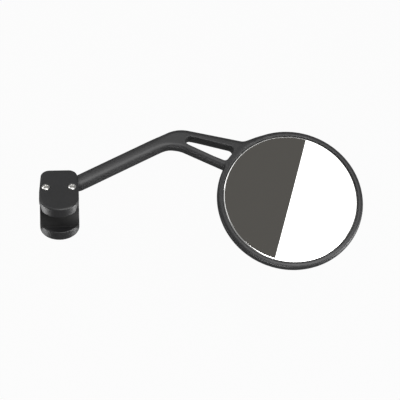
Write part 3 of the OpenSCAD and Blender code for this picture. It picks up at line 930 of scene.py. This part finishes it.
@dataclass
class Studio:
    """Camera, floor, lamps and the card that the glass reflects.

    The camera's angles are degrees. scale is pixels for each millimetre at the camera's origin, which lies
    bar_shift in front of the bar's axis and which the photograph shows at origin_px. split_px are the ends
    of the line between the glass's two halves.
    """

    azimuth: float = -7.1
    elevation: float = 39.9
    roll: float = 3.4
    scale: float = 1.1524
    distance: float = 1126.96
    origin_px: tuple[float, float] = (59.46, 219.29)
    bar_shift: float = 6.7
    split_px: tuple[tuple[float, float], tuple[float, float]] = ((305.4, 141.6), (274.6, 259.2))
    card_height: float = 300.0
    card_margin: float = 24.0
    card_steps: int = 48
    card_colour: str = "#5a5855"
    floor_z: float = -150.0
    floor_half: float = 4000.0
    floor_colour: str = "#7c7c7c"
    floor_roughness: float = 0.9
    floor_white: float = 0.96
    room_light: float = 0.34
    far_m: float = 50.0

    def axes(self) -> tuple[Array, Array, Array]:
        """Right, up and backward directions of the camera."""
        a, e, w = np.radians([self.azimuth, self.elevation, self.roll])
        back = np.array([np.sin(a) * np.cos(e), -np.cos(a) * np.cos(e), np.sin(e)])
        right = np.array([np.cos(a), np.sin(a), 0.0])
        up = np.array([-np.sin(a) * np.sin(e), np.cos(a) * np.sin(e), np.cos(e)])
        return np.cos(w) * right + np.sin(w) * up, -np.sin(w) * right + np.cos(w) * up, back

    def eye(self) -> Array:
        """Place of the camera in millimetres."""
        right, up, back = self.axes()
        half = PHOTO_PIXELS / 2
        dx, dy = (half - self.origin_px[0]) / self.scale, (self.origin_px[1] - half) / self.scale
        return right * dx + up * dy + back * self.distance - [0, self.bar_shift, 0]

    def camera(self) -> None:
        """Set the camera at the photograph's angle and distance."""
        right, up, back = self.axes()
        data = bpy.data.cameras.new("studio_camera")
        data.sensor_width = SENSOR_MM
        data.lens = self.scale * self.distance * SENSOR_MM / PHOTO_PIXELS
        data.clip_end = self.far_m
        made = bpy.data.objects.new("studio_camera", data)
        matrix = np.eye(4)
        for column, vector in enumerate((right, up, back, self.eye() * MM)):
            matrix[:3, column] = vector
        made.matrix_world = Matrix(matrix.tolist())
        bpy.context.scene.collection.objects.link(made)
        bpy.context.scene.camera = made

    def ray(self, pixel: tuple[float, float]) -> Array:
        """Direction of the camera's ray through a pixel of the photograph."""
        right, up, back = self.axes()
        half, focal = PHOTO_PIXELS / 2, self.scale * self.distance
        return unit(right * (pixel[0] - half) - up * (pixel[1] - half) - back * focal)

    def echo(self, point: Array, glass: MirrorGlass) -> Array:
        """Where the ray from the eye, turned back by the glass at a point, meets the card's height.

        Formula: with normal n at the point, d leaves along d - 2 (d.n) n, and is followed to z = card_height.

        Args:
            point: A point of the convex face in millimetres.
            glass: The glass.

        Returns:
            The point on the card in millimetres.
        """
        d = unit(point - self.eye())
        normal = unit(point - glass.crown_centre())
        out = d - 2 * (d @ normal) * normal
        return point + out * (self.card_height - point[2]) / out[2]

    def card(self, glass: MirrorGlass) -> None:
        """Hang a grey card whose straight side the glass shows from one split pixel to the other."""
        eye, middle = self.eye(), glass.crown_centre()
        hits = []
        for pixel in self.split_px:
            d = self.ray(pixel)
            b = (eye - middle) @ d
            hits.append(eye + d * (-b - np.sqrt(b * b - (eye - middle) @ (eye - middle) + glass.crown ** 2)))
        first, last = ARM_PLACE.to_local(np.array(hits))[:, :2] - np.array(glass.centre)
        reach = glass.radius + self.card_margin
        along = unit(last - first)
        half = np.sqrt(reach * reach - first @ first + (first @ along) ** 2)
        foot = first - (first @ along) * along
        start, end = [np.arctan2(*(foot + k * half * along)[::-1]) for k in (-1, 1)]
        a = np.linspace(start, end if end > start else end + 2 * np.pi, self.card_steps)
        edge = np.stack([glass.centre[0] + reach * np.cos(a), glass.centre[1] + reach * np.sin(a),
                         np.full(self.card_steps, glass.edge_z + glass.height(reach))], 1)
        corners = np.array([self.echo(p, glass) for p in ARM_PLACE.to_model(edge)]) * MM
        mesh = bpy.data.meshes.new("grey_card")
        mesh.from_pydata(corners.tolist(), [], [tuple(range(self.card_steps))])
        made = bpy.data.objects.new("grey_card", mesh)
        for use in ("visible_camera", "visible_diffuse", "visible_shadow", "visible_transmission"):
            setattr(made, use, False)
        material = bpy.data.materials.new("grey_card_paint")
        material.use_nodes = True
        tree = material.node_tree
        tree.nodes.clear()
        paint = add(tree, "ShaderNodeEmission", Color=linear(self.card_colour), Strength=1.0)
        add(tree, "ShaderNodeOutputMaterial", {"Surface": paint.outputs["Emission"]})
        mesh.materials.append(material)
        bpy.context.scene.collection.objects.link(made)

    def floor(self) -> None:
        """Lay a grey floor that glows white to the camera, apart from a faint shadow."""
        mesh = bpy.data.meshes.new("studio_floor")
        half, z = self.floor_half * MM, self.floor_z * MM
        corners = [(-half, -half, z), (half, -half, z), (half, half, z), (-half, half, z)]
        mesh.from_pydata(corners, [], [(0, 1, 2, 3)])
        made = bpy.data.objects.new("studio_floor", mesh)
        material = bpy.data.materials.new("pale_floor_paint")
        material.use_nodes = True
        tree = material.node_tree
        shader = tree.nodes["Principled BSDF"]
        shader.inputs["Roughness"].default_value = self.floor_roughness
        shader.inputs["Base Color"].default_value = linear(self.floor_colour)
        glow = add(tree, "ShaderNodeEmission", Color=(1, 1, 1, 1), Strength=1.0)
        path = add(tree, "ShaderNodeLightPath")
        share = add(tree, "ShaderNodeMath", {0: path.outputs["Is Camera Ray"]}, operation="MULTIPLY")
        share.inputs[1].default_value = self.floor_white
        mix = add(tree, "ShaderNodeMixShader",
                  {0: share.outputs[0], 1: shader.outputs["BSDF"], 2: glow.outputs["Emission"]})
        tree.links.new(mix.outputs["Shader"], tree.nodes["Material Output"].inputs["Surface"])
        mesh.materials.append(material)
        bpy.context.scene.collection.objects.link(made)

    def lamp(self, box: SoftBox) -> None:
        """Hang one soft box.

        Args:
            box: The lamp's place, size and light.
        """
        data = bpy.data.lights.new(box.name, "AREA")
        data.shape = "RECTANGLE"
        data.size, data.size_y = box.size
        data.energy = box.brightness * LAMP_WATTS * box.size[0] * box.size[1]
        data.spread = np.radians(box.spread)
        made = bpy.data.objects.new(box.name, data)
        back = unit(np.array(box.place) - np.array(box.aim))
        side = unit(np.cross(LAMP_ROLL, back))
        matrix = np.eye(4)
        for column, vector in enumerate((side, np.cross(back, side), back, box.place)):
            matrix[:3, column] = vector
        made.matrix_world = Matrix(matrix.tolist())
        made.visible_camera = False
        bpy.context.scene.collection.objects.link(made)

    def world(self) -> None:
        """Make a dim even room that shows white to the camera."""
        world = bpy.data.worlds.new("studio_world")
        bpy.context.scene.world = world
        world.use_nodes = True
        tree = world.node_tree
        tree.nodes.clear()
        path = add(tree, "ShaderNodeLightPath")
        room = add(tree, "ShaderNodeBackground", Color=(1, 1, 1, 1), Strength=self.room_light)
        white = add(tree, "ShaderNodeBackground", Color=(1, 1, 1, 1), Strength=1.0)
        mix = add(tree, "ShaderNodeMixShader",
                  {0: path.outputs["Is Camera Ray"], 1: room.outputs[0], 2: white.outputs[0]})
        add(tree, "ShaderNodeOutputWorld", {"Surface": mix.outputs["Shader"]})

    def build(self, glass: MirrorGlass) -> None:
        """Set up camera, floor, room, lamps and card."""
        self.camera()
        self.floor()
        self.world()
        for box in LAMPS:
            self.lamp(box)
        self.card(glass)
        scene = bpy.context.scene
        scene.view_settings.view_transform = "Standard"


def main() -> None:
    """Build every sub-assembly in order, then dress the CAD nodes that stay."""
    logging.basicConfig(level=logging.INFO, format="%(message)s")
    glass = MirrorGlass()
    Studio().build(glass)
    for side in Side:
        ClampShell(side).build()
    ClampScrew("screw_left", -SCREW_PLACE[0]).build()
    ClampScrew("screw_right", SCREW_PLACE[0]).build()
    ForkedArm().build()
    Housing().build()
    glass.build()
    for node, finish in CARRIED.items():
        dress(node, finish)


if __name__ == "__main__":
    main()
